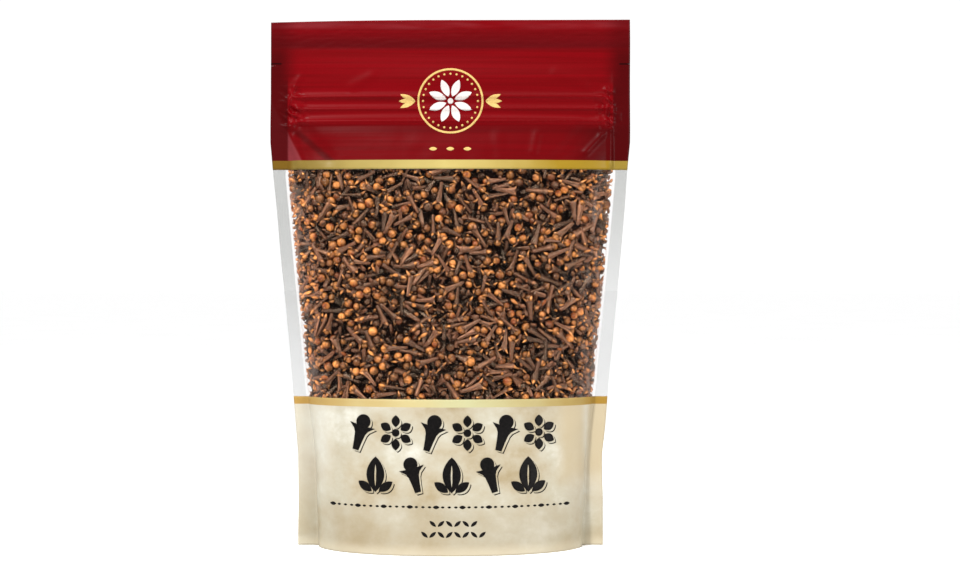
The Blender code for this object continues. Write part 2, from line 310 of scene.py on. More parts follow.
def seal_flutter(x, z):
    """The seals and the header bend a little, front and back film together."""
    out = smooth((np.abs(x) - inner_half_width(z) + 0.003) / seal_width(z))
    wave = lattice_noise(z / FIN_FLUTTER_LENGTH, 3.5 + np.sign(x), 23)
    bow = 0.0016 * smooth((z - 0.235) / 0.042) * np.cos(x / 0.055)
    crimp = 0.00012 * lattice_noise(x / 0.004, z / 0.0011, 29) * smooth((z - 0.262) / 0.003)
    return FIN_FLUTTER * wave * out * smooth(z / 0.01) + bow + crimp


def film_y(x, z, side):
    """y of the film's outer surface on the front (side -1) or back (side 1)."""
    stand = bag_depth(x, z) + FIN_HALF_THICKNESS + film_relief(x, z, side)
    return side * np.maximum(stand, FIN_HALF_THICKNESS) + seal_flutter(x, z)


def lowered(x, z):
    """The top edge sags a little towards its ends, and the base corners lift a little."""
    sag = np.where(x < 0.0, *TOP_EDGE_SAGS) * (x / plain_half_width(z)) ** 2
    sag = sag * clamp01((z - UPPER_STRIPE_TOP) / (HEIGHT - UPPER_STRIPE_TOP))
    corner = smooth((np.abs(x) - inner_half_width(z)) / 0.003)
    return z - sag + CORNER_LIFT * corner * clamp01(1.0 - z / 0.004)


# Meshes

def add_to_scene(name, data, place=(0.0, 0.0, 0.0), turn=(0.0, 0.0, 0.0)):
    thing = bpy.data.objects.new(name, data)
    thing.location = place
    thing.rotation_euler = turn
    bpy.context.scene.collection.objects.link(thing)
    return thing


def new_mesh(name, points, faces, materials, face_material=None):
    data = bpy.data.meshes.new(name)
    data.from_pydata(np.asarray(points, float).reshape(-1, 3).tolist(), [], faces)
    for material in materials:
        data.materials.append(material)
    if face_material is not None:
        data.polygons.foreach_set("material_index", face_material)
    data.polygons.foreach_set("use_smooth", [True] * len(data.polygons))
    data.update()
    return add_to_scene(name, data)


def finish_piece(piece, thickness=None):
    """Puts a piece on the bag's body, and gives thickness to one that is a sheet."""
    if thickness:
        solid = piece.modifiers.new("film thickness", "SOLIDIFY")
        solid.thickness = thickness
        solid.offset = -1.0
    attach(piece, "root")
    return piece


def add_attribute(piece, name, kind, values):
    """Stores one value for each point of a piece."""
    values = values.reshape(-1, values.shape[-1])
    if kind == "FLOAT_COLOR":
        values = np.concatenate([values, np.ones((len(values), 1))], axis=1)
    attribute = piece.data.attributes.new(name, kind, "POINT")
    field = {"FLOAT_COLOR": "color", "FLOAT_VECTOR": "vector", "FLOAT": "value"}[kind]
    attribute.data.foreach_set(field, values.astype(np.float32).ravel())


def rows_between(*breaks):
    """Levels from (level, step to the next one) pairs."""
    levels = []
    for (low, step), (high, _) in zip(breaks, breaks[1:]):
        count = max(1, round((high - low) / step))
        levels.extend(np.linspace(low, high, count, endpoint=False))
    levels.append(breaks[-1][0])
    return np.array(levels)


def column_places(z):
    """x of every column at one level, from the left cut edge to the right one."""
    share = 1.0 - (1.0 - np.linspace(0.0, 1.0, HALF_COLUMNS + 1)) ** COLUMN_CROWDING
    inner = inner_half_width(z)
    halves = []
    for side in (-1, 1):
        fin = np.linspace(inner, edge_half_width(z, side), FIN_COLUMNS + 1)[1:]
        halves.append(np.concatenate([share * inner, fin]))
    return np.concatenate([-halves[0][:0:-1], halves[1]])


def ring_faces(ring_count, size):
    faces = []
    for low in range(0, (ring_count - 1) * size, size):
        for i in range(size):
            j = (i + 1) % size
            faces.append((low + i, low + j, low + size + j, low + size + i))
    return faces


def film_mesh(levels):
    """Closed rings of points round the bag, front left to right and then back, and their faces."""
    rings = []
    for z in levels:
        x = column_places(z)
        front, back = (np.stack([x, film_y(x, z, side), lowered(x, z)], axis=1) for side in (-1, 1))
        rings.append(np.concatenate([front, back[::-1]]))
    return rings, ring_faces(len(rings), len(rings[0]))


def strip_faces(first, size):
    """Closes a ring between its front half and its back half."""
    last = first + size - 1
    return [(first + i, first + i + 1, last - i - 1, last - i) for i in range(size // 2 - 1)]


def split_looks(faces, levels, size, split, below, above):
    """The number of each face's material: one below the split level, one above it."""
    count = int(np.sum(levels < split - 1e-6)) * size
    return [below] * count + [above] * (len(faces) - count)


def make_header(materials):
    levels = rows_between(
        (UPPER_STRIPE_BOTTOM, 0.0011),
        (UPPER_STRIPE_TOP, 0.0010),
        (RIB_LEVELS[0] - RIB_HALF_HEIGHT, 0.0004),
        (RIB_LEVELS[-1] + RIB_HALF_HEIGHT, 0.0010),
        (NOTCH_LEVEL - NOTCH_HALF_HEIGHT, NOTCH_HALF_HEIGHT),
        (NOTCH_LEVEL + NOTCH_HALF_HEIGHT, 0.0010),
        (TOP_SEAL_BOTTOM, 0.0007),
        (HEIGHT, 0.0),
    )
    rings, faces = film_mesh(levels)
    size = len(rings[0])
    faces += strip_faces((len(rings) - 1) * size, size)
    looks = split_looks(faces, levels, size, UPPER_STRIPE_TOP, 1, 0)
    piece = new_mesh("printed_header", rings, faces, materials, looks)
    return finish_piece(piece, FILM_THICKNESS)


def make_window(materials):
    rings, faces = film_mesh(rows_between((LOWER_STRIPE_TOP, 0.0018), (UPPER_STRIPE_BOTTOM, 0.0)))
    half = len(rings[0]) // 2
    column = np.arange(2 * half) % half
    is_seal = np.minimum(column, half - 1 - column) < FIN_COLUMNS
    looks = np.tile(is_seal.astype(int), len(rings) - 1)
    piece = new_mesh("clear_window_film", rings, faces, materials, looks)
    x, _, z = np.concatenate(rings).T
    seal_share = (np.abs(x) - inner_half_width(z)) / seal_width(z)
    add_attribute(piece, "seal_share", "FLOAT", np.clip(seal_share, -3.0, 1.0)[:, None])
    finish_piece(piece, FILM_THICKNESS)


def underside_height(x, y):
    """Height of the folded base above the floor: a seam groove and the fold across it."""
    radius = np.hypot(x / inner_half_width(0.0), y / BASE_HALF_DEPTH)
    inset = (1.0 / np.maximum(radius, 0.05) - 1.0) * np.hypot(x, y)
    groove = bump_at(inset, GROOVE_INSET + 0.5 * GROOVE_WIDTH, 0.7 * GROOVE_WIDTH)
    panel = 0.0005 * smooth((inset - GROOVE_INSET - GROOVE_WIDTH) / 0.004)
    along_fold = smooth((FOLD_HALF_LENGTH - np.abs(x)) / 0.004)
    fold = clamp01(1.0 - np.abs(y) / FOLD_HALF_WIDTH) * along_fold
    lumps = 0.00025 * (1.0 + lattice_noise(x / 0.011, y / 0.011, 61)) * smooth(inset / 0.008)
    return np.maximum(GROOVE_DEPTH * groove, GROOVE_DEPTH * fold) + panel + lumps


def make_base(materials):
    levels = rows_between(
        (0.0, 0.0010), (0.006, 0.0016), (LOWER_BAND_TOP, 0.0010), (LOWER_STRIPE_TOP, 0.0),
    )
    rings, faces = film_mesh(levels)
    size = len(rings[0])
    looks = split_looks(faces, levels, size, LOWER_BAND_TOP, 0, 1)
    half = size // 2
    first, last = FIN_COLUMNS, half - 1 - FIN_COLUMNS
    points = list(np.concatenate(rings))
    rungs = []
    for i in range(first, last + 1):
        front, back = points[i], points[size - 1 - i]
        inner = range(len(points), len(points) + BASE_RUNGS - 1)
        rungs.append([i, *inner, size - 1 - i])
        for step in range(1, BASE_RUNGS):
            y = front[1] + (back[1] - front[1]) * step / BASE_RUNGS
            z = underside_height(front[0], y) + 0.5 * (front[2] + back[2])
            points.append((front[0], y, z))
    under = []
    for left, right in zip(rungs, rungs[1:]):
        for step in range(BASE_RUNGS):
            under.append((left[step], left[step + 1], right[step + 1], right[step]))
    for i in [*range(first), *range(last, half - 1)]:
        under.append((i, size - 1 - i, size - 2 - i, i + 1))
    piece = new_mesh("printed_base", points, faces + under, materials, looks + [0] * len(under))
    finish_piece(piece, FILM_THICKNESS)


# Heap of cloves

BALLS_ALONG = np.array([0.06, 0.22, 0.38, 0.54, CROWN_AT, BUD_AT]) * CLOVE_LENGTH
BALL_RADII = np.array([0.00105, 0.0012, 0.0014, 0.0017, 0.0026, BUD_RADIUS])
WHOLE, BUDLESS, LOOSE_BUD, CHIP = 0, 1, 2, 3


def scatter_heap(draw):
    """First places of the cloves: anywhere in the layer behind the film, pointing anywhere."""
    wanted = CLOVE_COUNT + LOOSE_BUD_COUNT
    places = np.zeros((0, 3))
    while len(places) < wanted:
        z = draw.uniform(HEAP_LOW, HEAP_HIGH, wanted)
        x = draw.uniform(-1.0, 1.0, wanted) * inner_half_width(z)
        depth = bag_depth(x, z)
        layer = np.minimum(depth, HEAP_THICKNESS)
        kept = draw.random(wanted) < np.maximum(layer / HEAP_THICKNESS, depth > BUD_RADIUS)
        side = draw.choice((-1.0, 1.0), wanted)
        y = side * (depth - layer * draw.random(wanted))
        places = np.concatenate([places, np.stack([x, y, z], axis=1)[kept]])
    places = places[:wanted]
    axes = draw.normal(size=(wanted, 3))
    axes[:, 1] += OUTWARD_LEAN * np.sign(places[:, 1])
    kinds = np.full(wanted, WHOLE)
    kinds[draw.random(wanted) < BUDLESS_SHARE] = BUDLESS
    kinds[CLOVE_COUNT:] = LOOSE_BUD
    sizes = np.clip(draw.normal(1.0, 0.09, wanted), 0.78, 1.2)
    return places, unit(axes), kinds, sizes


def ball_sizes(kinds, sizes):
    """Radii of the balls that stand for each clove. A ball of no size isn't there."""
    radii = np.tile(BALL_RADII, (len(kinds), 1)) * sizes[:, None]
    radii[kinds == BUDLESS, -1] = 0.0
    radii[kinds == LOOSE_BUD, :-1] = 0.0
    return radii


def near_pairs(centres, reach):
    gap = np.linalg.norm(centres[:, None] - centres[None], axis=2)
    return np.nonzero(np.triu(gap < reach, 1))


def push_apart(balls, radii, pairs):
    """How far each ball moves to leave the balls of other cloves that it overlaps."""
    first, second = pairs
    gap = balls[first][:, :, None] - balls[second][:, None, :]
    distance = np.linalg.norm(gap, axis=3)
    size_a, size_b = radii[first][:, :, None], radii[second][:, None, :]
    overlap = np.where((size_a > 0) & (size_b > 0), size_a + size_b - distance, 0.0)
    pair, a, b = np.nonzero(overlap > 0.0)
    push = gap[pair, a, b] * (0.5 * overlap[pair, a, b] / (distance[pair, a, b] + 1e-9))[:, None]
    pushed = first[pair] * radii.shape[1] + a
    pusher = second[pair] * radii.shape[1] + b
    moves = [
        np.bincount(pushed, step, radii.size) - np.bincount(pusher, step, radii.size)
        for step in push.T
    ]
    return np.stack(moves, axis=1).reshape(balls.shape)


def keep_in_bag(balls, radii):
    """Moves balls inside the film, out of the core and between the heap's two levels.

    Where the bag is thin they are let in as if they were smaller: they are flattened later.
    """
    probe = 0.0004
    x, y, z = np.moveaxis(balls, -1, 0)
    reach = inner_half_width(z) - SEAL_CLEARANCE
    x = np.clip(x, -reach, reach)
    z = np.clip(z, HEAP_LOW, HEAP_HIGH)
    depth = bag_depth(x, z) - FILM_CLEARANCE
    slope_x = (bag_depth(x + probe, z) - bag_depth(x - probe, z)) / (2.0 * probe)
    slope_z = (bag_depth(x, z + probe) - bag_depth(x, z - probe)) / (2.0 * probe)
    slope_x = np.clip(slope_x, -2.0, 2.0)
    steep = np.sqrt(1.0 + slope_x**2 + slope_z**2)
    side = np.where(y < 0.0, -1.0, 1.0)
    squeezed = lerp(SQUEEZED_SHARE, 1.0, smooth(depth / SQUEEZED_BELOW)) * radii
    outside = np.maximum((np.abs(y) - depth) / steep + squeezed, 0.0)
    outside = np.where(radii > 0.0, outside, 0.0)
    x = x + outside * slope_x / steep
    z = z + outside * slope_z / steep
    y = y - outside * side / steep
    deepest = np.maximum(depth - HEAP_THICKNESS + radii, 0.0)
    too_deep = (np.abs(y) < deepest) & (depth > HEAP_THICKNESS)
    y = np.where(too_deep, y + 0.3 * side * (deepest - np.abs(y)), y)
    return np.stack([x, y, z], axis=-1)


def settle_heap(places, axes, kinds, sizes):
    """Pushes overlapping cloves apart while each keeps its own straight shape."""
    radii = ball_sizes(kinds, sizes)
    along = (BALLS_ALONG[None, :] - 0.5 * CLOVE_LENGTH) * sizes[:, None]
    weight = (radii > 0.0).astype(float)
    weight /= weight.sum(axis=1, keepdims=True)
    middle = (along * weight).sum(axis=1, keepdims=True)
    lever = (along - middle) * weight
    for step in range(SETTLING_STEPS):
        if step % 10 == 0:
            pairs = near_pairs(places, CLOVE_LENGTH * PAIRING_REACH)
        balls = places[:, None] + along[..., None] * axes[:, None]
        balls = balls + SETTLING_PUSH * push_apart(balls, radii, pairs)
        drift = SETTLING_DRIFT * (1.0 - step / SETTLING_STEPS)
        balls[..., 1] += drift * np.sign(balls[..., 1])
        balls = keep_in_bag(balls, radii)
        centre = (balls * weight[..., None]).sum(axis=1)
        turned = (lever[..., None] * (balls - centre[:, None])).sum(axis=1)
        length = np.linalg.norm(turned, axis=1, keepdims=True)
        axes = np.where(length > 1e-9, turned / np.maximum(length, 1e-9), axes)
        places = centre - middle * axes
    return places, axes


def drop_hidden(heap):
    """Leaves out the cloves that lie wholly behind the printed bands or too deep to be seen."""
    places, axes, _, sizes = heap
    reach = 0.5 * CLOVE_LENGTH * sizes * np.abs(axes[:, 2]) + BUD_RADIUS
    above = places[:, 2] + reach > LOWER_STRIPE_TOP - HIDDEN_MARGIN
    below = places[:, 2] - reach < UPPER_STRIPE_BOTTOM + HIDDEN_MARGIN
    seen = bag_depth(places[:, 0], places[:, 2]) - np.abs(places[:, 1]) < DEEPEST_SEEN
    return chosen_of(heap, above & below & seen)


def chosen_of(heap, chosen):
    return tuple(values[chosen] for values in heap)


def past_film(points):
    """How far the worst point of each clove passes the front film and the back film."""
    x, y, z = np.moveaxis(points, -1, 0)
    front = film_y(x, z, -1) + FILM_CLEARANCE - y
    back = y - film_y(x, z, 1) + FILM_CLEARANCE
    return front.max(axis=1), back.max(axis=1)


def fit_between_films(points):
    """Moves each clove off the film, flattens it where the bag is thin, and says which fit."""
    x, y, z = np.moveaxis(points, -1, 0)
    past_seal = (np.abs(x) - inner_half_width(z) + SEAL_CLEARANCE).max(axis=1)
    x -= (np.maximum(past_seal, 0.0) * np.sign(x.mean(axis=1)))[:, None]
    for _ in range(3):
        front, back = past_film(points)
        middle = y.mean(axis=1, keepdims=True)
        extent = y.max(axis=1) - y.min(axis=1)
        factor = np.clip(1.0 - np.maximum(front + back, 0.0) / extent, FLATTEST, 1.0)
        y[:] = middle + (y - middle) * factor[:, None]
        front, back = past_film(points)
        y += (np.maximum(front, 0.0) - np.maximum(back, 0.0))[:, None]
    front, back = past_film(points)
    return np.maximum(front, back) < FILM_CLEARANCE


def light_reaching(points):
    """Painted shade and light in the clove colours: darker for deeper points of the heap, lighter at
    its thin edge by the left seal.
    """
    x, y, z = np.moveaxis(points, -1, 0)
    side = np.where(y.mean(axis=1, keepdims=True) < 0.0, -1, 1)
    film = np.where(side < 0, film_y(x, z, -1), film_y(x, z, 1))
    share = smooth((side * (film - y) - GLOOM_STARTS) / (GLOOM_ENDS - GLOOM_STARTS))
    edge = smooth((x + inner_half_width(z)) / EDGE_LIGHT_WIDTH)
    return lerp(1.0, GLOOM_SHADE, share) * lerp(EDGE_LIGHT, 1.0, edge)


# Templates of one clove and its parts: points (along, out, turn) and faces

STEM_PART, LOBE_PART, BUD_PART, CHIP_PART = 0, 1, 2, 3
STEM_PROFILE = (
    (0.000, 0.00060), (0.022, 0.00096), (0.200, 0.00110), (0.430, 0.00136),
    (0.610, 0.00182), (0.695, 0.00225), (0.735, 0.00205),
)
STEM_SQUARENESS = 0.09
LOBE_ROWS = (
    ((0.690, 0.00190), (0.640, 0.00205), (0.745, 0.00140), LOBE_SPREAD),
    ((0.750, 0.00285), (0.718, 0.00315), (0.785, 0.00255), 0.55 * LOBE_SPREAD),
)
LOBE_TIP_AT = 0.825
CHIP_PROFILE = ((-0.0017, 0.00018), (-0.0006, 0.00085), (0.0007, 0.00075), (0.0018, 0.00012))
CHIP_SIDES = 5


def lathe(profile, sides, first_turn=0.0, squareness=0.0, tip=None):
    """Points round a profile with their faces, closed at its start, and at its end flat or by a tip."""
    points = []
    for along, out in profile:
        for i in range(sides):
            turn = math.tau * (i + first_turn) / sides
            points.append((along, out * (1.0 + squareness * math.cos(4.0 * turn)), turn))
    faces = ring_faces(len(profile), sides) + [tuple(range(sides))[::-1]]
    last = len(points) - sides
    if tip is None:
        return points, faces + [tuple(range(last, last + sides))]
    faces += [(last + i, last + (i + 1) % sides, last + sides) for i in range(sides)]
    return points + [(tip, 0.0, 0.0)], faces


def lobe_template(turn):
    """One of the four pointed lobes of the crown: thick at its foot, curling out to its tip."""
    points = []
    for side, outer, inner, spread in LOBE_ROWS:
        points += [(*side, turn - spread), (*outer, turn), (*side, turn + spread), (*inner, turn)]
    points.append((LOBE_TIP_AT, LOBE_REACH, turn))
    tip_faces = [(4 + i, 4 + (i + 1) % 4, 8) for i in range(4)]
    points = [(along * CLOVE_LENGTH, out, angle) for along, out, angle in points]
    return points, ring_faces(2, 4) + tip_faces + [(3, 2, 1, 0)]


def bud_template(whole_ball):
    """The round unopened bud: a whole ball, or the part of it that stands out of a crown."""
    steepest, rows = (165.0, 6) if whole_ball else (118.0, 5)
    middle = BUD_AT * CLOVE_LENGTH
    profile = []
    for row in range(rows):
        slant = math.radians(steepest * (1.0 - row / rows))
        profile.append((middle + 0.94 * BUD_RADIUS * math.cos(slant), BUD_RADIUS * math.sin(slant)))
    return lathe(profile, CLOVE_SIDES, first_turn=0.5, tip=middle + 0.97 * BUD_RADIUS)


def join_templates(*parts):
    """Joins (points, faces, part number) into arrays and one list of faces."""
    points, faces, numbers = [], [], []
    for part_points, part_faces, number in parts:
        start = len(points)
        points.extend(part_points)
        faces.extend(tuple(start + i for i in face) for face in part_faces)
        numbers.extend([number] * len(part_points))
    return np.array(points), faces, np.array(numbers)


def clove_template():
    profile = [(along * CLOVE_LENGTH, radius) for along, radius in STEM_PROFILE]
    stem = lathe(profile, CLOVE_SIDES, squareness=STEM_SQUARENESS)
    lobes = [(*lobe_template(math.tau * i / 4), LOBE_PART) for i in range(4)]
    return join_templates((*stem, STEM_PART), *lobes, (*bud_template(False), BUD_PART))


def chip_template():
    """A small broken piece of a crown or a bud, pointed at both ends."""
    profile = [(0.5 * CLOVE_LENGTH + shift, radius) for shift, radius in CHIP_PROFILE]
    return join_templates((*lathe(profile, CHIP_SIDES), CHIP_PART))


def scatter_chips(draw):
    """Broken bits in the gaps between the cloves, most of them close to the side seals."""
    z = draw.uniform(LOWER_STRIPE_TOP - 0.002, UPPER_STRIPE_BOTTOM + 0.002, CHIP_COUNT)
    reach = inner_half_width(z)
    x = draw.uniform(-1.0, 1.0, CHIP_COUNT) * reach
    from_seal = draw.uniform(0.0005, CHIP_EDGE_WIDTH, CHIP_COUNT)
    at_edge = draw.random(CHIP_COUNT) < CHIP_EDGE_SHARE
    x = np.where(at_edge, np.sign(x) * (reach - from_seal), x)
    depth = np.maximum(bag_depth(x, z) - draw.uniform(*CHIP_DEPTHS, CHIP_COUNT), 0.0)
    y = draw.choice((-1.0, 1.0), CHIP_COUNT) * depth
    axes = unit(draw.normal(size=(CHIP_COUNT, 3)))
    kinds = np.full(CHIP_COUNT, CHIP)
    return np.stack([x, y, z], axis=1), axes, kinds, draw.uniform(0.6, 1.4, CHIP_COUNT)


def side_vectors(axes, draw):
    """Two unit vectors across each axis, turned by a random roll."""
    helper = np.where(np.abs(axes[:, 2:3]) < 0.9, [[0.0, 0.0, 1.0]], [[1.0, 0.0, 0.0]])
    first = unit(np.cross(axes, helper))
    second = np.cross(axes, first)
    roll = draw.uniform(0.0, math.tau, len(axes))[:, None]
    cos, sin = np.cos(roll), np.sin(roll)
    return first * cos + second * sin, second * cos - first * sin


STEM_BROWN = np.array([0.070, 0.025, 0.011])
STEM_GREY = np.array([0.128, 0.058, 0.036])
STEM_DARK = np.array([0.018, 0.007, 0.005])
RIDGE_LIGHT = np.array([0.360, 0.190, 0.115])
LOBE_GOLD = np.array([0.610, 0.290, 0.090])
BUD_GOLD = np.array([0.650, 0.285, 0.075])
BUD_RUST = np.array([0.160, 0.038, 0.008])
BUD_BROWN = np.array([0.078, 0.030, 0.014])
BUD_DARK = np.array([0.030, 0.011, 0.006])
RIDGE_SHARE = 0.80
BROWN_BUD_SHARE = 0.33


def bud_colours(template, count, draw):
    """Painted light and shade over the bud's own gold, rust or brown: gold on one side and rusty on the
    other, darker off its top and towards the crown.
    """
    along, out, turn = template.T
    # Painted light and shade: one side of each bud gold, the other rusty, and on some a rusty top.
    shaded_side = 0.5 + 0.5 * np.cos(turn[None, :] - draw.uniform(0.0, math.tau, (count, 1)))
    height = (along - BUD_AT * CLOVE_LENGTH) / BUD_RADIUS
    top = smooth((height - 0.35) / 0.6) * (draw.random((count, 1)) < 0.6)
    rust_and_shade = clamp01(0.9 * shaded_side + 0.6 * top + draw.uniform(-0.35, 0.25, (count, 1)))[..., None]
    brown = draw.random((count, 1, 1)) < BROWN_BUD_SHARE
    brown = brown * draw.uniform(0.55, 1.0, (count, 1, 1))
    bud = lerp(lerp(BUD_GOLD, BUD_RUST, rust_and_shade), lerp(BUD_BROWN, BUD_DARK, rust_and_shade), brown)
    # Painted shade: darker off the top of the bud and towards the crown.
    sides = 0.5 * smooth(out / 0.0012)
    crown_shade = lerp(0.35, 1.10, smooth(height + 0.40))
    return bud * (crown_shade * (1.0 - 0.35 * sides))[None, :, None]


def stem_colours(template, count, draw):
    """Brown to greyish, with the four ridges of the stem lighter than its flat sides: partly their own
    wear, partly a painted highlight along them.
    """
    along, _, turn = template.T
    grey = draw.random((count, 1, 1))
    dark = draw.random((count, 1, 1)) ** 2.5
    stem = lerp(lerp(STEM_BROWN, STEM_GREY, grey), STEM_DARK, 0.85 * dark)
    # Lighter ridges: wear and a painted highlight.
    ridge = (0.5 + 0.5 * np.cos(4.0 * turn)) * smooth(along / (0.3 * CLOVE_LENGTH))
    wear_and_highlight = RIDGE_SHARE * draw.random((count, 1, 1)) * (1.0 - dark)
    return lerp(stem, RIDGE_LIGHT, wear_and_highlight * ridge[None, :, None])


def clove_colours(template, numbers, kinds, draw):
    """One colour for each point of each clove."""
    count = len(kinds)
    out = template[:, 1]
    stem = stem_colours(template, count, draw)
    gold = draw.random((count, 1, 1))
    tip = smooth((out - 0.0020) / 0.0014)[None, :, None] * smooth(gold * 1.5)
    lobe = lerp(stem, LOBE_GOLD, 0.9 * tip)
    bud = bud_colours(template, count, draw)
    bud = np.where((kinds == BUDLESS)[:, None, None], lerp(stem, STEM_DARK, 0.5), bud)
    chip = lerp(lerp(LOBE_GOLD, BUD_RUST, draw.random((count, 1, 1))), stem, gold > 0.55)
    colour = np.choose(numbers[None, :, None], (stem, lobe, bud, chip))
    speckle = 1.0 + 0.28 * draw.uniform(-1.0, 1.0, (count, len(out), 1))
    return clamp01(colour * speckle)


def place_cloves(template, numbers, heap, draw):
    """Points of every clove, each with its own bend, thickness and crown."""
    places, axes, kinds, sizes = heap
    count = len(kinds)
    along, out, turn = np.tile(template.T[:, None, :], (1, count, 1))
    across_a, across_b = side_vectors(axes, draw)
    is_bud, is_lobe = numbers == BUD_PART, numbers == LOBE_PART
    stem_thickness = draw.uniform(0.85, 1.2, (count, 1))
    bud_size = np.where(kinds == BUDLESS, 0.42, draw.uniform(0.86, 1.12, count))[:, None]
    bud_middle = np.where(kinds == BUDLESS, 0.745, BUD_AT)[:, None] * CLOVE_LENGTH
    lobe_reach = draw.uniform(0.82, 1.18, (count, 1))
    out = out * np.where(is_bud, bud_size, np.where(is_lobe, lobe_reach, stem_thickness))
    along = np.where(is_bud, bud_middle + (along - BUD_AT * CLOVE_LENGTH) * bud_size, along)
    curl = draw.uniform(-0.0007, 0.0010, (count, 1)) * smooth((out - 0.0021) / 0.0012)
    along = along + np.where(is_lobe, curl, 0.0)
    flat = draw.uniform(0.78, 1.0, (count, 1))
    local_a = out * np.cos(turn)
    local_b = out * np.sin(turn) * np.where(is_bud, 1.0, flat)
    crown = CROWN_AT * CLOVE_LENGTH
    bend = draw.normal(0.0, 0.0008, (count, 1)) * (1.0 - along / crown) ** 2
    local_a = local_a + np.where(along < crown, bend, 0.0)
    points = places[:, None]
    for local, axis in ((along - 0.5 * CLOVE_LENGTH, axes), (local_a, across_a), (local_b, across_b)):
        points = points + sizes[:, None, None] * local[..., None] * axis[:, None]
    return points


def make_clove_piece(name, shape, heap, material, draw):
    template, faces, numbers = shape
    points = place_cloves(template, numbers, heap, draw)
    fits = fit_between_films(points)
    points, kinds = points[fits], heap[2][fits]
    count, size = points.shape[:2]
    faces = [tuple(start + i for i in face) for start in range(0, count * size, size) for face in faces]
    piece = new_mesh(name, points, faces, [material])
    # The clove colours carry painted shade and painted light from light_reaching.
    light = light_reaching(points)[..., None]
    colours = clove_colours(template, numbers, kinds, draw) * light
    add_attribute(piece, "clove_colour", "FLOAT_COLOR", colours)
    along, _, turn = template.T
    skin = np.stack([np.cos(turn), np.sin(turn), along / CLOVE_LENGTH], axis=1)
    shift = draw.uniform(0.0, 40.0, (count, 1, 3))
    add_attribute(piece, "clove_skin", "FLOAT_VECTOR", skin[None] + shift)
    finish_piece(piece)


def make_heap(material):
    draw = np.random.default_rng(HEAP_SEED)
    places, axes, kinds, sizes = scatter_heap(draw)
    places, axes = settle_heap(places, axes, kinds, sizes)
    heap = drop_hidden((places, axes, kinds, sizes))
    is_bud, in_front = heap[2] == LOOSE_BUD, heap[0][:, 1] < 0.0
    for name, chosen in (("cloves_front", in_front), ("cloves_back", ~in_front)):
        cloves = chosen_of(heap, ~is_bud & chosen)
        make_clove_piece(name, clove_template(), cloves, material, draw)
    make_clove_piece("clove_chips", chip_template(), scatter_chips(draw), material, draw)
    ball = join_templates((*bud_template(True), BUD_PART))
    make_clove_piece("loose_buds", ball, chosen_of(heap, is_bud), material, draw)


def make_core(material):
    """The lumpy inside of the heap, near black as painted shade, seen only in the gaps between the
    cloves.
    """
    rings = []
    for z in rows_between((HEAP_LOW, 0.0025), (0.2035, 0.0)):
        wander = 0.0015 * lattice_noise(z / 0.006, 0.5, 88)
        reach = inner_half_width(z) - CORE_SEAL_MARGIN - wander
        x = np.linspace(-reach, reach, CORE_COLUMNS)
        ends = smooth((1.0 - np.abs(x) / reach) / 0.06)
        filled = bag_depth(x, z)
        depth = np.maximum(filled - HEAP_THICKNESS + 0.0015, CORE_THIN_SHARE * filled)
        rows = []
        for side in (-1, 1):
            lumps = 0.0009 * lattice_noise(x / 0.004, z / 0.004, 90 + side)
            y = side * np.maximum((depth + lumps) * ends, 0.0002)
            rows.append(np.stack([x, y, np.full(x.shape, z)], axis=1))
        rings.append(np.concatenate([rows[0], rows[1][::-1]]))
    size = len(rings[0])
    bottom = [face[::-1] for face in strip_faces(0, size)]
    faces = ring_faces(len(rings), size) + bottom + strip_faces((len(rings) - 1) * size, size)
    finish_piece(new_mesh("heap_core", rings, faces, [material]))


# Print: flat shapes cut out as thin sheets that follow the film

PRINT_LIFT = 0.00008
PRINT_THICKNESS = 0.00004


def spokes(count, first_turn=0.0):
    return [first_turn + math.tau * i / count for i in range(count)]


def ringed(cx, cz, radius, turn):
    """A point on a circle."""
    return cx + radius * math.cos(turn), cz + radius * math.sin(turn)


def circle(cx, cz, radius, count):
    return [ringed(cx, cz, radius, turn) for turn in spokes(count)]


def moved(outline, cx, cz, turn=0.0, scale=1.0):
    c, s = math.cos(turn), math.sin(turn)
    return [(cx + scale * (x * c - z * s), cz + scale * (x * s + z * c)) for x, z in outline]


def lens(length, width, count=12):
    """A pointed leaf or petal along +X from the origin."""
    upper = [(length * i / count, 0.5 * width * math.sin(math.pi * i / count) ** 0.8)
             for i in range(count + 1)]
    return upper + [(x, -z) for x, z in upper[-2:0:-1]]


def inside(outlines, x, z):
    """Which points lie inside closed outlines, counted by crossings, so that holes stay open."""
    crossings = np.zeros(x.shape, int)
    for outline in outlines:
        for (x0, z0), (x1, z1) in zip(outline, outline[1:] + outline[:1]):
            spans = (z0 > z) != (z1 > z)
            run = (x1 - x0) / (z1 - z0) if z1 != z0 else 0.0
            crossings += spans & (x < x0 + run * (z - z0))
    return crossings % 2 == 1


def print_sheet(outlines, step):
    """Triangles of the area inside the outlines, fine enough to follow the film."""
    points, edges = [], []
    for outline in outlines:
        start, count = len(points), len(outline)
        points.extend(Vector(point) for point in outline)
        edges.extend((start + i, start + (i + 1) % count) for i in range(count))
    low, high = np.min(points, axis=0) + step, np.max(points, axis=0)
    for x in np.arange(low[0], high[0], step):
        for z in np.arange(low[1], high[1], step):
            points.append(Vector((x, z)))
    verts, _, faces, *_ = delaunay_2d_cdt(points, edges, [], 0, 1e-7)
    flat = np.array([tuple(vert) for vert in verts])
    middles = np.array([flat[list(face)].mean(axis=0) for face in faces])
    return flat, [face for face, keep in zip(faces, inside(outlines, *middles.T)) if keep]


def make_print(name, shapes, material, step=0.0010, lift=PRINT_LIFT):
    """One piece of print on the front, from shapes that are lists of outlines, holes included."""
    points, faces = [], []
    for outlines in shapes:
        flat, sheet = print_sheet(outlines, step)
        start = len(points)
        x, z = flat.T
        points.extend(zip(x, film_y(x, z, -1) - lift, lowered(x, z)))
        faces.extend(tuple(start + i for i in face) for face in sheet)
    finish_piece(new_mesh(name, points, faces, [material]), PRINT_THICKNESS)


# Materials

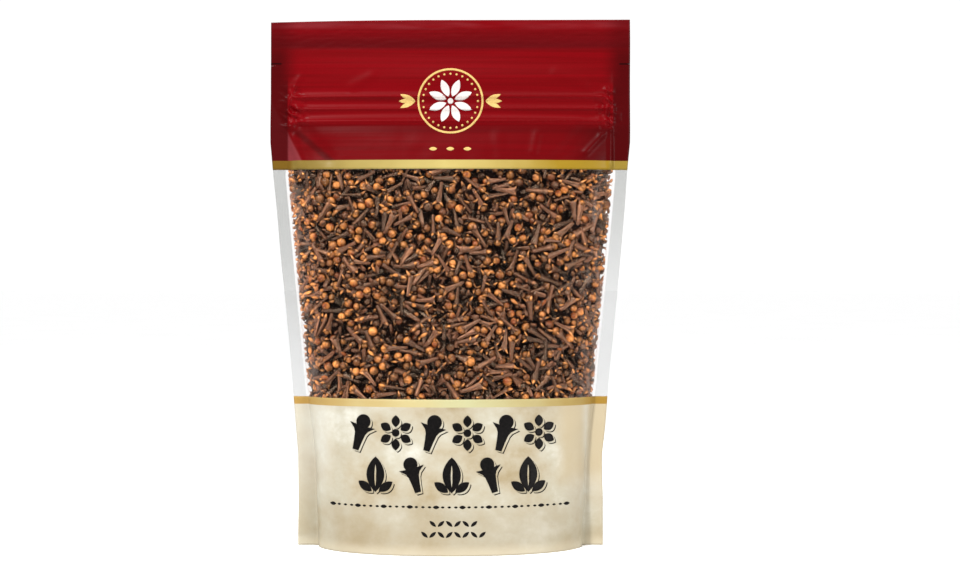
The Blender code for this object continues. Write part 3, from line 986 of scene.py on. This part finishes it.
class Look:
    """A node material under construction. Its helpers return the sockets of new nodes."""

    def __init__(self, name, roughness, specular=0.5):
        self.material = bpy.data.materials.new(name)
        self.material.use_nodes = True
        self.nodes = self.material.node_tree.nodes
        self.shader = self.nodes["Principled BSDF"]
        self.shader.inputs["Roughness"].default_value = roughness
        self.shader.inputs["Specular IOR Level"].default_value = specular

    def set_input(self, socket, value):
        if isinstance(value, bpy.types.NodeSocket):
            self.material.node_tree.links.new(value, socket)
        else:
            socket.default_value = (*value, 1.0) if socket.type == "RGBA" else value

    def node(self, kind, output, inputs, **settings):
        """Adds a node with settings and inputs, and returns one of its outputs."""
        node = self.nodes.new("ShaderNode" + kind)
        for name, value in settings.items():
            setattr(node, name, value)
        for name, value in inputs.items():
            self.set_input(node.inputs[name], value)
        return node.outputs[output]

    def place(self):
        """Object coordinates in metres."""
        return self.node("TexCoord", "Object", {})

    def axis(self, index):
        return self.node("SeparateXYZ", index, {0: self.place()})

    def attribute(self, name, output):
        return self.node("Attribute", output, {}, attribute_name=name)

    def noise(self, scale, stretch=(1.0, 1.0, 1.0), detail=3.0, roughness=0.5, source=None,
              shift=(0.0, 0.0, 0.0)):
        place = {"Vector": source or self.place(), "Scale": stretch, "Location": shift}
        grain = {"Scale": scale, "Detail": detail, "Roughness": roughness}
        return self.node("TexNoise", "Fac", {"Vector": self.node("Mapping", "Vector", place), **grain})

    def ramp(self, factor, *stops):
        """A colour ramp from (place, colour) stops, where a single number stands for a grey."""
        node = self.nodes.new("ShaderNodeValToRGB")
        elements = node.color_ramp.elements
        while len(elements) < len(stops):
            elements.new(0.5)
        for element, (place, colour) in zip(elements, stops):
            element.position = place
            element.color = (*(colour if isinstance(colour, tuple) else (colour,) * 3), 1.0)
        self.set_input(node.inputs["Fac"], factor)
        return node.outputs["Color"]

    def mixed(self, factor, first, second, blend="MIX"):
        inputs = {0: factor, 6: first, 7: second}
        return self.node("Mix", 2, inputs, data_type="RGBA", blend_type=blend)

    def math(self, operation, first, second=0.0, clamp=False):
        return self.node("Math", 0, {0: first, 1: second}, operation=operation, use_clamp=clamp)

    def times(self, first, *others):
        for other in others:
            first = self.math("MULTIPLY", first, other)
        return first

    def off(self, value, middle=0.0):
        """How far a value is from the middle one."""
        return self.math("ABSOLUTE", self.math("SUBTRACT", value, middle))

    def between(self, value, low, high):
        """0 at low, 1 at high and smooth between them."""
        inputs = {"Value": value, "From Min": low, "From Max": high}
        return self.node("MapRange", "Result", inputs, interpolation_type="SMOOTHSTEP")

    def over(self, base, colour, share, *ranges):
        """Lays a share of a colour over the base, within (value, low, high) ranges."""
        return self.mixed(self.times(share, *(self.between(*span) for span in ranges)), base, colour)

    def bump(self, height, strength, distance, below=None):
        inputs = {"Height": height, "Strength": strength, "Distance": distance}
        if below is not None:
            inputs["Normal"] = below
        return self.node("Bump", "Normal", inputs)

    def finish(self, colour, normal=None):
        self.set_input(self.shader.inputs["Base Color"], colour)
        if normal is not None:
            self.set_input(self.shader.inputs["Normal"], normal)
        return self.material


FILM_GLOSS = 0.036
# The pale triangle (FACET) is a painted highlight, SHADOW_FOLD a painted shade beside it, and SHEEN_RED
# the colour of painted sheen and highlight.
FACET_TOP = (-0.0850, 0.2175)
FACET_SLANT = 0.52
SHADOW_FOLD_TOP = (-0.0831, 0.2201)
SHADOW_FOLD_SLANT = 1.17
TOP_SHEEN_LEVEL = 0.2750
SHEEN_RED = (0.150, 0.030, 0.036)


def streaked(look, strength=0.25):
    """Fine streaks across the film over a faint orange peel."""
    peel = look.bump(look.noise(260.0, detail=2.0), 0.10, 0.0004)
    return look.bump(look.noise(1.0, (9.0, 9.0, 700.0), 4.0), strength, 0.0003, peel)


def top_seal_red(look, z):
    """Streaked red, darker towards the lower edge of the top seal, with a painted sheen near its upper
    one.
    """
    streaks = look.noise(1.0, (7.0, 7.0, 420.0))
    soft = look.ramp(streaks, (0.35, (0.083, 0.0001, 0.0009)), (0.65, (0.110, 0.0001, 0.0015)))
    sealed = (z, TOP_SEAL_BOTTOM - 0.0025, TOP_SEAL_BOTTOM + 0.0010)
    fading = (z, HEIGHT - 0.001, TOP_SEAL_BOTTOM)
    top = look.over(soft, (0.045, 0.0008, 0.0016), 0.80, sealed, fading)
    # Painted sheen: a paler, patchy band near the top edge.
    near = (look.off(z, TOP_SHEEN_LEVEL), 0.0030, 0.0004)
    patches = (look.noise(1.0, (22.0, 22.0, 160.0), 2.0), 0.36, 0.66)
    return look.over(top, SHEEN_RED, 0.28, near, patches)


def slanting_line(look, top, slant):
    """How far a point lies left of a line that runs down from its top, and how far below that."""
    fallen = look.math("SUBTRACT", top[1], look.axis(2))
    line = look.math("ADD", look.times(fallen, slant), top[0])
    return look.math("SUBTRACT", line, look.axis(0)), fallen


def red_below_ribs(look, z, red):
    """Painted shade just under the lowest rib, in the fold beside the pale triangle and towards the
    right seal; the pale triangle is a painted highlight.
    """
    # Painted shadow under the lowest rib, fading lower down.
    below = look.between(z, RIB_LEVELS[0] - 0.001, RIB_LEVELS[0] - 0.009)
    dark = look.ramp(below, (0.0, 0.0), (0.08, 0.75), (0.60, 0.95), (0.95, 0.5))
    red = look.over(red, (0.058, 0.0001, 0.0007), dark)
    # Painted shade of the fold beside the pale triangle.
    left, fallen = slanting_line(look, SHADOW_FOLD_TOP, SHADOW_FOLD_SLANT)
    fold = (look.off(left), 0.0042, 0.0006)
    red = look.over(red, (0.036, 0.0001, 0.0004), 0.75, fold, (fallen, -0.001, 0.003))
    # Painted highlight: the pale triangle of a facet that catches the light.
    left, _ = slanting_line(look, FACET_TOP, FACET_SLANT)
    red = look.over(red, SHEEN_RED, 0.5, (left, 0.0, 0.0016))
    # Painted shade where the film turns away towards the right seal.
    right = (look.axis(0), 0.056, 0.082)
    return look.over(red, (0.032, 0.0001, 0.0004), 0.75, right, (z, 0.2225, 0.2190))


def red_at_sides(look, z, red):
    """Darker side seals, whose inner edge is soft above the ribs, and the cuts of the tear notches."""
    across = look.off(look.axis(0))
    inner = TOP_HALF_WIDTH - SEAL_WIDTHS[-1]
    crisp = look.between(across, inner - 0.0006, inner + 0.0008)
    soft = look.between(across, inner - 0.0070, inner + 0.0055)
    side = look.mixed(look.between(z, 0.240, 0.250), crisp, soft)
    darker = look.ramp(look.between(z, 0.266, 0.258), (0.0, 0.50), (1.0, 0.93))
    red = look.over(red, (0.036, 0.0001, 0.0005), look.times(side, darker))
    cut = (look.off(z, NOTCH_LEVEL), 0.0006, 0.0002)
    return look.over(red, (0.010, 0.0001, 0.0003), 1.0, cut, (across, 0.0888, 0.0898))


def red_film():
    look = Look("red_printed_film", 0.36, FILM_GLOSS)
    z = look.axis(2)
    red = red_at_sides(look, z, red_below_ribs(look, z, top_seal_red(look, z)))
    return look.finish(red, streaked(look))


def gold_film(name, stops, seals, seal_starts, seal_ends):
    """A gold stripe that runs through some golds from left to right, a painted light and shade across
    it, and others at its ends.
    """
    look = Look(name, 0.33, 0.06)
    x = look.axis(0)
    from_left = look.math("ADD", look.times(x, 0.5 / TOP_HALF_WIDTH), 0.5)
    uneven = look.math("SUBTRACT", look.noise(60.0, detail=2.0), 0.5)
    # The golds from left to right are painted light and shade.
    base = look.ramp(look.math("ADD", from_left, look.times(uneven, 0.16)), *stops)
    seal = look.mixed(look.between(x, -0.01, 0.01), *seals)
    gold = look.over(base, seal, 1.0, (look.off(x), seal_starts, seal_ends))
    return look.finish(gold, streaked(look, 0.15))


def cream_film():
    look = Look("cream_printed_film", 0.42, 0.10)
    x, z = look.axis(0), look.axis(2)
    across = look.off(x)
    mottled = look.ramp(
        look.noise(30.0, (1.0, 1.0, 1.2), 6.0, 0.62),
        (0.34, (0.215, 0.170, 0.100)), (0.46, (0.265, 0.230, 0.164)),
        (0.58, (0.300, 0.280, 0.222)), (0.70, (0.385, 0.374, 0.328)),
    )
    wide = look.noise(13.0, detail=2.0, shift=(0.3, 0.1, 0.2))
    shade = look.ramp(wide, (0.38, (0.88, 0.86, 0.80)), (0.60, 1.0))
    cream = look.mixed(1.0, mottled, shade, "MULTIPLY")
    cream = look.over(cream, (0.310, 0.262, 0.178), 0.30, (across, 0.068, 0.080))
    # Painted light: paler beside both side seals, where the base curves away into them.
    by_seal = (across, 0.056, 0.068)
    cream = look.over(cream, (0.420, 0.405, 0.355), 0.45, by_seal, (z, 0.010, 0.050))
    away = look.math("SUBTRACT", 0.50, look.times(0.375, look.between(*by_seal)))
    cream = look.over(cream, (0.205, 0.172, 0.115), away, (z, 0.036, 0.016))
    corner = ((x, 0.052, 0.062), (z, 0.028, 0.044), (look.off(x, 0.0712), -0.002, 0.0036))
    cream = look.over(cream, (0.285, 0.230, 0.140), 0.80, *corner)
    cream = look.over(cream, (0.380, 0.335, 0.245), 0.50, (z, 0.007, 0.001))
    return look.finish(cream, streaked(look, 0.12))


def print_look(name, colour, second):
    look = Look(name, 0.4, 0.04)
    wear_and_highlight = look.noise(900.0)
    return look.finish(look.ramp(wear_and_highlight, (0.35, colour), (0.75, second)), streaked(look, 0.12))


def see_through(name, body_colour, haze, tint):
    """Clear film: mostly nothing, with a haze of its own, a tint where it is sealed and a painted
    reflection where it is seen edge-on.
    """
    look = Look(name, 0.16)
    wisps = look.noise(1.0, (60.0, 60.0, 22.0))
    lighter = tuple(1.06 * level for level in body_colour)
    look.finish(look.ramp(wisps, (0.3, body_colour), (0.7, lighter)), look.bump(wisps, 0.25, 0.0006))
    # Painted reflection: more of the film's body colour where it is seen edge-on.
    facing = look.node("LayerWeight", "Facing", {"Blend": 0.5})
    edge = look.times(look.math("POWER", facing, 3.0), 0.30)
    amount = look.math("ADD", edge, haze(look), clamp=True)
    clear = look.node("BsdfTransparent", 0, {"Color": tint(look)})
    blend = look.node("MixShader", 0, {0: amount, 1: clear, 2: look.shader.outputs[0]})
    look.set_input(look.nodes["Material Output"].inputs["Surface"], blend)
    return look.material


def no_tint(look):
    return look.ramp(look.noise(30.0, detail=2.0), (0.3, 0.985), (0.7, 0.998))


def across_seal(look, low, high):
    """0 to 1 between two places: 0 is where the side seal begins, 1 at the bag's cut edge."""
    return look.between(look.attribute("seal_share", "Fac"), low, high)


def thin_haze_and_sheen(look):
    """Almost none, but hazier close to the side seals: a painted reflection of the film there."""
    # Painted reflection: hazier close to the side seals.
    seal_side_sheen = across_seal(look, -2.2, -0.1)
    uneven = look.between(look.noise(230.0, (1.0, 1.0, 0.6)), 0.35, 0.75)
    return look.math("ADD", look.times(seal_side_sheen, uneven, 0.07), 0.002)


def seal_haze(look):
    return look.times(across_seal(look, 0.04, 0.16), 0.03)


def seal_tint(look):
    """The pressed film is greyer high up and clearer lower down, on the right sooner."""
    level = look.math("SUBTRACT", look.axis(2), look.times(look.axis(0), 0.17))
    high = look.between(level, 0.100, 0.190)
    grey = look.ramp(high, (0.0, (0.950, 0.951, 0.950)), (1.0, (0.873, 0.874, 0.869)))
    return look.mixed(across_seal(look, 0.04, 0.16), (0.985, 0.985, 0.985), grey)


def clove_skin():
    look = Look("clove", 0.26, 0.55)
    look.shader.inputs["Specular Tint"].default_value = (1.0, 0.74, 0.50, 1.0)
    wrinkles = look.noise(3.2, (1.0, 1.0, 1.4), 4.0, 0.65, look.attribute("clove_skin", "Vector"))
    shade = look.ramp(wrinkles, (0.32, (0.31, 0.22, 0.17)), (0.62, (1.30, 1.07, 0.90)))
    colour = look.mixed(1.0, look.attribute("clove_colour", "Color"), shade, "MULTIPLY")
    grain = look.bump(look.noise(1500.0, detail=2.0), 0.25, 0.0003)
    return look.finish(colour, look.bump(wrinkles, 0.70, 0.0007, grain))


def painted_shade_core():
    look = Look("heap_inside_painted_shade", 0.9, 0.05)
    lumps = look.noise(420.0, detail=4.0)
    # Near black: painted shade for the depth of the heap between the cloves.
    dark = look.ramp(lumps, (0.35, (0.0050, 0.0022, 0.0014)), (0.7, (0.0200, 0.0085, 0.0050)))
    return look.finish(dark, look.bump(lumps, 0.6, 0.001))


# Ornaments in the printed places

EMBLEM_MIDDLE = (0.0, 0.2347)
EMBLEM_RADIUS = 0.0175
EMBLEM_BEADS = 28
DOTS_LEVEL = 0.2090
TITLE_UPPER_LEVEL = 0.0618
TITLE_LOWER_LEVEL = 0.0406
TITLE_SHADOWS = (0.0008, 0.0012)
RULE_LEVEL = 0.0245
RULE_HALF_LENGTH = 0.0605
RULE_COUNT = 37
SMALL_ROWS = ((0.0162, 6), (0.0108, 8))


def emblem_frame():
    """A gold ring with a string of beads inside it and three leaves on each side."""
    cx, cz = EMBLEM_MIDDLE
    shapes = [[circle(cx, cz, EMBLEM_RADIUS - inset, 80) for inset in (0.0, 0.0011)]]
    for bead in circle(cx, cz, EMBLEM_RADIUS - 0.0030, EMBLEM_BEADS):
        shapes.append([circle(*bead, 0.0006, 10)])
    for side in (-1, 1):
        for turn in (0.42, 0.0, -0.42):
            angle = turn if side > 0 else math.pi - turn
            start = cx + side * (EMBLEM_RADIUS + 0.0010)
            shapes.append([moved(lens(0.0088, 0.0026), start, cz, angle)])
    return shapes


def flower(cx, cz, inner, petal_length, petal_width, count):
    """Petals set round a middle."""
    petal = lens(petal_length, petal_width)
    return [[moved(petal, *ringed(cx, cz, inner, turn), turn)]
            for turn in spokes(count, math.pi / count)]


def emblem_flower():
    cx, cz = EMBLEM_MIDDLE
    return flower(cx, cz, 0.0024, 0.0098, 0.0042, 8) + [[circle(cx, cz, 0.0015, 20)]]


def small_dots():
    return [[moved(lens(0.0042, 0.0020), x - 0.0021, DOTS_LEVEL)] for x in (-0.009, 0.0, 0.009)]


def clove_figure(cx, cz, height, turn):
    """A bold clove about its own middle: bud, four-pointed crown and tapering stem."""
    half = [(0.085, 0.0), (0.115, 0.25), (0.15, 0.46), (0.20, 0.56), (0.36, 0.70), (0.17, 0.69)]
    half += [ringed(0.0, 0.80, 0.20, math.radians(-40.0 + 130.0 * i / 8)) for i in range(9)]
    whole = half + [(-x, z) for x, z in half[-2::-1]]
    return [[moved([(x, z - 0.5) for x, z in whole], cx, cz, turn, height)]]


def flower_figure(cx, cz, size):
    """A bold six-petalled flower with an open ring round its middle."""
    middle = [[circle(cx, cz, 0.115 * size, 20)]]
    return flower(cx, cz, 0.17 * size, 0.35 * size, 0.25 * size, 6) + middle


def leaf_figure(cx, cz, height):
    """A bold upright leaf with an open midrib between two small side leaves."""
    upright = math.pi / 2
    low = cz - 0.5 * height
    blade = moved(lens(height, 0.52 * height), cx, low, upright)
    rib = moved(lens(0.62 * height, 0.055 * height), cx, low + 0.16 * height, upright)
    shapes = [[blade, rib]]
    for side in (-1, 1):
        start = (cx + side * 0.10 * height, low + 0.02 * height)
        small = lens(0.48 * height, 0.24 * height)
        shapes.append([moved(small, *start, upright - side * 0.95)])
    return shapes


def title_shapes(shift=0.0):
    """Two rows of bold figures. A shift moves them to the lower right, for their shadow."""
    shapes = []
    for i in range(6):
        x, z = 0.0184 * (i - 2.5) + shift, TITLE_UPPER_LEVEL - shift
        shapes += flower_figure(x, z, 0.0172) if i % 2 else clove_figure(x, z, 0.0188, -0.28)
    for i in range(5):
        x, z = 0.0196 * (i - 2.0) + 0.0012 + shift, TITLE_LOWER_LEVEL - shift
        shapes += clove_figure(x, z, 0.0182, 0.28) if i % 2 else leaf_figure(x, z, 0.0180)
    return shapes


def rule_shapes():
    """A rule of small lozenges, every fourth one larger."""
    shapes = []
    for i in range(RULE_COUNT):
        x = RULE_HALF_LENGTH * (2.0 * i / (RULE_COUNT - 1) - 1.0)
        length = 0.0034 if i % 4 == 0 else 0.0019
        shapes.append([moved(lens(length, 0.45 * length + 0.0002), x - 0.5 * length, RULE_LEVEL)])
    return shapes


def small_row_shapes():
    """Two short rows of leaves that lean to and fro."""
    shapes = []
    for level, count in SMALL_ROWS:
        for i in range(count):
            x = 0.0021 + 0.0042 * (i - 0.5 * (count - 1))
            lean = 0.7 if i % 2 else -0.7
            shapes.append([moved(lens(0.0044, 0.0017), *ringed(x, level, -0.0022, lean), lean)])
    return shapes


def make_prints(gold, white, black, cream):
    near, far = TITLE_SHADOWS
    make_print("header_emblem", emblem_frame() + small_dots(), gold, step=0.0007)
    make_print("header_flower", emblem_flower(), white, step=0.0007)
    make_print("base_figures_outline", title_shapes(far), black)
    make_print("base_figures_gap", title_shapes(near), cream, lift=2.0 * PRINT_LIFT)
    make_print("base_figures", title_shapes(), black, lift=3.0 * PRINT_LIFT)
    make_print("base_rule", rule_shapes() + small_row_shapes(), black)


# Stage, lights and camera

def make_floor():
    look = Look("pale_floor", 0.9, 0.1)
    pale = look.finish(look.ramp(look.noise(4.0, detail=2.0), (0.3, 0.93), (0.7, 0.95)))
    reach = 80.0
    corners = [(-reach, -reach, 0.0), (reach, -reach, 0.0), (reach, reach, 0.0), (-reach, reach, 0.0)]
    floor = new_mesh("floor", corners, [(0, 1, 2, 3)], [pale])


def add_light(name, kind, place, power, **settings):
    data = bpy.data.lights.new(name, kind)
    data.energy = power
    for setting, value in settings.items():
        setattr(data, setting, value)
    direction = Vector(LIGHTS_AIM) - Vector(place)
    add_to_scene(name, data, place, direction.to_track_quat("-Z", "Y").to_euler())


def make_lights():
    world = bpy.data.worlds.new("studio")
    world.use_nodes = True
    background = world.node_tree.nodes["Background"]
    background.inputs["Color"].default_value = (1.0, 1.0, 1.0, 1.0)
    background.inputs["Strength"].default_value = WORLD_STRENGTH
    bpy.context.scene.world = world
    for name, place, radius, power in (
        ("key", (-0.75, -1.25, 1.50), 0.10, 212.0),
        ("fill", (1.30, -1.25, 0.45), 0.20, 75.0),
        ("behind", (0.50, 1.60, 1.00), 0.20, 130.0),
    ):
        cone = {"spot_size": SPOT_CONE, "spot_blend": 0.5, "shadow_soft_size": radius}
        add_light(name, "SPOT", place, power, **cone)
    add_light("strip", "AREA", (0.0, -0.70, 1.64), 9.0, shape="RECTANGLE", size=1.2, size_y=0.05)


def make_camera():
    data = bpy.data.cameras.new("camera")
    data.lens = CAMERA_LENS
    data.sensor_width = 36.0
    data.clip_start = 0.01
    camera = add_to_scene("camera", data, CAMERA_PLACE, (math.radians(90.0), 0.0, 0.0))
    bpy.context.scene.camera = camera


def main():
    bpy.context.scene.view_settings.view_transform = "Standard"
    upper_gold = gold_film(
        "upper_gold_stripe",
        (
            (0.10, (0.124, 0.083, 0.017)), (0.24, (0.199, 0.147, 0.040)),
            (0.50, (0.304, 0.242, 0.081)), (0.78, (0.175, 0.108, 0.008)),
        ),
        ((0.093, 0.050, 0.005), (0.163, 0.110, 0.017)), 0.0825, 0.0850,
    )
    lower_gold = gold_film(
        "lower_gold_stripe",
        (
            (0.12, (0.250, 0.160, 0.048)), (0.36, (0.311, 0.259, 0.123)),
            (0.55, (0.291, 0.282, 0.156)), (0.86, (0.215, 0.140, 0.036)),
        ),
        ((0.255, 0.154, 0.040), (0.205, 0.119, 0.020)), 0.068, 0.078,
    )
    cream = cream_film()
    header = make_header((red_film(), upper_gold))
    make_base((cream, lower_gold))
    make_window((
        # The clear film's warm body colour is the colour of its painted reflection.
        see_through("clear_film", (0.50, 0.38, 0.33), thin_haze_and_sheen, no_tint),
        see_through("sealed_clear_film", (0.36, 0.36, 0.365), seal_haze, seal_tint),
    ))
    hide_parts("pouch")
    make_core(painted_shade_core())
    make_heap(clove_skin())
    make_prints(
        print_look("gold_print", (0.410, 0.285, 0.100), (0.340, 0.225, 0.072)),
        print_look("white_print", (0.420, 0.390, 0.370), (0.370, 0.335, 0.320)),
        print_look("black_print", (0.0020, 0.0018, 0.0018), (0.0050, 0.0042, 0.0040)),
        cream,
    )
    make_floor()
    make_lights()
    make_camera()


main()
